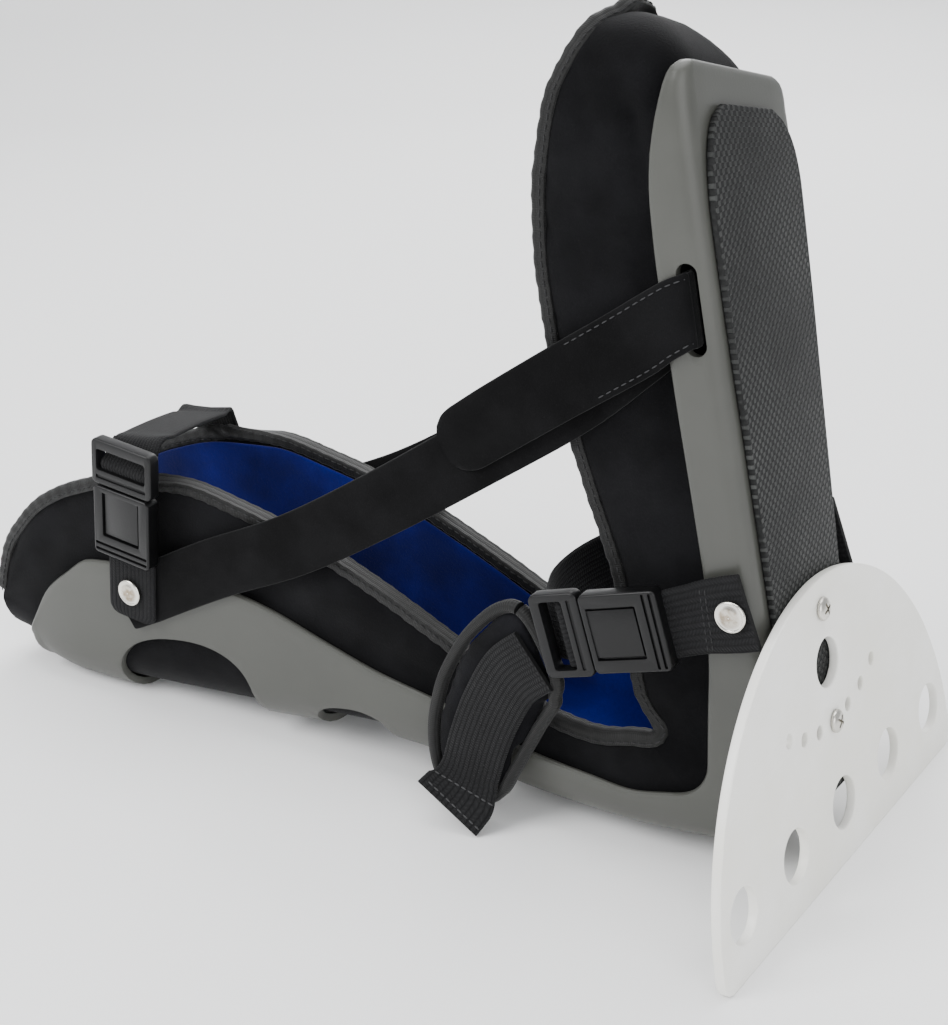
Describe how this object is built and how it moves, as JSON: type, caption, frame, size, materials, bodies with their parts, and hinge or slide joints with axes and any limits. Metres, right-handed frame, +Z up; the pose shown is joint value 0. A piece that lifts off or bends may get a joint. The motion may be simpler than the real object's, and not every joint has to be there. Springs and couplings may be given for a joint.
{
  "type": "night splint",
  "caption": "L-shaped splint that holds a foot at a right angle to the calf overnight, with padded liner, buckled straps and a plate that stops it rolling.",
  "frame": {"origin": "middle of the object's box, on the surface that it rests on", "axes": "+X from the calf end to the plate at the heel, +Y to the side without the buckles, +Z up, from the surface to the toe end"},
  "size_m": [0.4144, 0.206, 0.3165],
  "materials": {
    "shell_material": "satin moulded",
    "tread_pad_material": "matt, woven print",
    "rotation_plate_material": "satin",
    "plate_screw_upper_material": "bright",
    "plate_screw_lower_material": "bright",
    "liner_material": "felted",
    "lining_material": "brushed pile",
    "liner_binding_material": "satin tape",
    "angle_strap_near_material": "brushed webbing",
    "angle_strap_far_material": "brushed webbing",
    "calf_tab_material": "webbing",
    "calf_buckle_body_material": "satin",
    "calf_buckle_clip_material": "satin",
    "calf_webbing_material": "ribbed webbing",
    "rivet_calf_near_material": "bright",
    "rivet_calf_far_material": "bright",
    "heel_tab_material": "webbing",
    "ankle_buckle_body_material": "satin",
    "ankle_buckle_clip_material": "satin",
    "ankle_webbing_material": "ribbed webbing",
    "instep_pad_material": "felted",
    "ankle_tail_material": "ribbed webbing",
    "rivet_heel_near_material": "bright",
    "rivet_heel_far_material": "bright"
  },
  "bodies": {
    "root": {"shell": "shell_material", "tread_pad": "tread_pad_material", "rotation_plate": "rotation_plate_material", "plate_screw_upper": "plate_screw_upper_material", "plate_screw_lower": "plate_screw_lower_material", "liner": "liner_material", "lining": "lining_material", "liner_binding": "liner_binding_material", "angle_strap_near": "angle_strap_near_material", "angle_strap_far": "angle_strap_far_material", "calf_tab": "calf_tab_material", "calf_buckle_body": "calf_buckle_body_material", "calf_buckle_clip": "calf_buckle_clip_material", "calf_webbing": "calf_webbing_material", "rivet_calf_near": "rivet_calf_near_material", "rivet_calf_far": "rivet_calf_far_material", "heel_tab": "heel_tab_material", "ankle_buckle_body": "ankle_buckle_body_material", "ankle_buckle_clip": "ankle_buckle_clip_material", "ankle_webbing": "ankle_webbing_material", "instep_pad": "instep_pad_material", "ankle_tail": "ankle_tail_material", "rivet_heel_near": "rivet_heel_near_material", "rivet_heel_far": "rivet_heel_far_material"}
  },
  "joints": []
}
